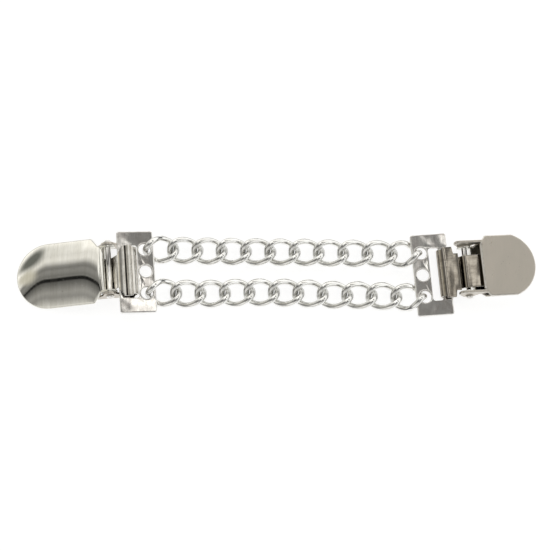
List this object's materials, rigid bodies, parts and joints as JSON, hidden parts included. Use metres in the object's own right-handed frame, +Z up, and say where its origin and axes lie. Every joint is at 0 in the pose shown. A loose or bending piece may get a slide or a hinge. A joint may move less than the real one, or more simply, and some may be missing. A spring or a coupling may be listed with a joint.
{
  "type": "sweater clip",
  "caption": "Sweater clip: silver curb chain strands between slotted plates, with a lever clip at each end to hold a cardigan's two fronts.",
  "frame": {"origin": "centre of the bounding box at the surface it lies on", "axes": "+X along the clip from the front-up clip to the back-up clip, +Y across it, +Z up"},
  "size_m": [0.162, 0.0276, 0.0074],
  "materials": {
    "polished_nickel": "polished, with fine lengthwise streaks and worn edges",
    "satin_nickel": "warm satin, slightly tarnished",
    "plate_steel": "plated sheet, dull streaks and fine pits",
    "spring_steel": "rolled spring strip, darker in the bends",
    "rivet_steel": "bright rivet heads",
    "chain_steel": "plated wire, satin with bright flanks"
  },
  "bodies": {
    "chain_and_plates": {"left_slot_plate": "plate_steel", "right_slot_plate": "plate_steel", "upper_link_01": "chain_steel", "upper_link_02": "chain_steel", "upper_link_03": "chain_steel", "upper_link_04": "chain_steel", "upper_link_05": "chain_steel", "upper_link_06": "chain_steel", "upper_link_07": "chain_steel", "upper_link_08": "chain_steel", "upper_link_09": "chain_steel", "upper_link_10": "chain_steel", "upper_link_11": "chain_steel", "lower_link_01": "chain_steel", "lower_link_02": "chain_steel", "lower_link_03": "chain_steel", "lower_link_04": "chain_steel", "lower_link_05": "chain_steel", "lower_link_06": "chain_steel", "lower_link_07": "chain_steel", "lower_link_08": "chain_steel", "lower_link_09": "chain_steel", "lower_link_10": "chain_steel", "lower_link_11": "chain_steel"},
    "left_strip": {"left_spring_strip": "spring_steel"},
    "left_jaw": {"left_back_plate": "satin_nickel", "left_pivot_pin": "rivet_steel"},
    "left_lever": {"left_cover": "polished_nickel"},
    "right_strip": {"right_spring_strip": "spring_steel"},
    "right_jaw": {"right_back_plate": "satin_nickel", "right_pivot_pin": "rivet_steel"},
    "right_lever": {"right_cover": "polished_nickel"}
  },
  "joints": [
    {"name": "left_swing", "type": "hinge", "parent": "chain_and_plates", "child": "left_strip", "pos_m": [-0.04725, -0.00004, 0.0052], "axis": [-0.0854, 0.9963, 0], "range_deg": [-60, 75]},
    {"name": "left_jaw_turn", "type": "hinge", "parent": "left_strip", "child": "left_jaw", "pos_m": [-0.05158, -0.00041, 0.0044], "axis": [-0.0854, 0.9963, 0], "range_deg": [-6, 0]},
    {"name": "left_lever_turn", "type": "hinge", "parent": "left_strip", "child": "left_lever", "pos_m": [-0.05158, -0.00041, 0.0044], "axis": [-0.0854, 0.9963, 0], "range_deg": [0, 85]},
    {"name": "right_swing", "type": "hinge", "parent": "chain_and_plates", "child": "right_strip", "pos_m": [0.05291, 0, 0.00272], "axis": [-0.0785, 0.9969, 0], "range_deg": [-60, 75]},
    {"name": "right_jaw_turn", "type": "hinge", "parent": "right_strip", "child": "right_jaw", "pos_m": [0.05959, 0.00053, 0.00265], "axis": [-0.0785, 0.9969, 0], "range_deg": [-6, 0]},
    {"name": "right_lever_turn", "type": "hinge", "parent": "right_strip", "child": "right_lever", "pos_m": [0.05959, 0.00053, 0.00265], "axis": [-0.0785, 0.9969, 0], "range_deg": [0, 85]}
  ]
}
